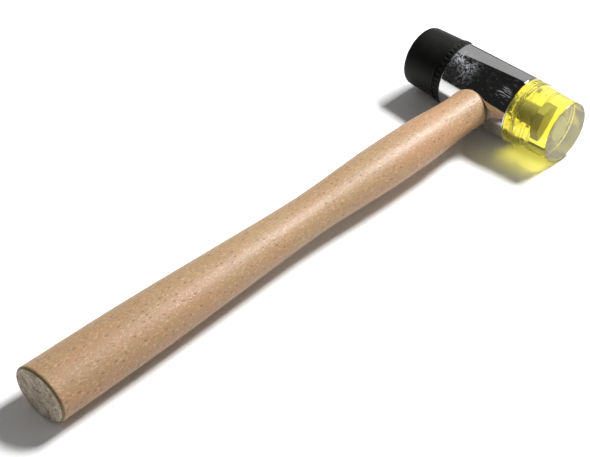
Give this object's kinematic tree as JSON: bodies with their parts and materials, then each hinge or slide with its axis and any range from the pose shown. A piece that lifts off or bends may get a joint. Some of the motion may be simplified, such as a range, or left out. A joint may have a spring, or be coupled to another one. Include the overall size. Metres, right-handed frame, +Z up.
{
  "type": "two-faced soft mallet",
  "caption": "Soft-face mallet lying on its side: a chromed steel head on an oval beech handle, with a clear yellow plastic face and a black rubber face that screw into its ends.",
  "frame": {"origin": "On the surface the mallet lies on, below the middle of its overall length and width", "axes": "+X along the head towards the plastic face, +Y from the butt of the handle towards the head, +Z up"},
  "size_m": [0.1032, 0.3488, 0.0394],
  "materials": {
    "chrome_head": "polished chrome plate, lightly scuffed and smudged",
    "beech": "steamed beech under clear gloss lacquer, bare end grain at the butt",
    "wedge_wood": "bare hardwood",
    "wedge_steel": "plain steel",
    "bolt_steel": "bright zinc plate",
    "washer_steel": "bright zinc plate",
    "yellow_plastic": "clear moulded plastic, polished",
    "black_rubber": "satin"
  },
  "bodies": {
    "head": {"head_body": "chrome_head", "handle": "beech", "wooden_wedge": "wedge_wood", "steel_wedge": "wedge_steel"},
    "yellow_washer": {"yellow_face_lock_washer": "washer_steel"},
    "yellow_face_unit": {"yellow_face": "yellow_plastic", "yellow_face_bolt": "bolt_steel"},
    "black_washer": {"black_face_lock_washer": "washer_steel"},
    "black_face_unit": {"black_face": "black_rubber", "black_face_bolt": "bolt_steel"}
  },
  "joints": [
    {"name": "yellow_face_advance", "type": "slide", "parent": "head", "child": "yellow_washer", "axis": [1, 0, 0], "range_m": [0, 0.0075]},
    {"name": "yellow_face_screw", "type": "hinge", "parent": "yellow_washer", "child": "yellow_face_unit", "pos_m": [0.0231, 0.15474, 0.0197], "axis": [1, 0, 0], "range_deg": [0, 2160]},
    {"name": "black_face_advance", "type": "slide", "parent": "head", "child": "black_washer", "axis": [-1, 0, 0], "range_m": [0, 0.0075]},
    {"name": "black_face_screw", "type": "hinge", "parent": "black_washer", "child": "black_face_unit", "pos_m": [-0.0231, 0.15474, 0.0197], "axis": [-1, 0, 0], "range_deg": [0, 2160]}
  ],
  "couplings": [
    {"joint": "yellow_face_advance", "follows": "yellow_face_screw", "m_per_rad": 0.00019894},
    {"joint": "black_face_advance", "follows": "black_face_screw", "m_per_rad": 0.00019894}
  ]
}
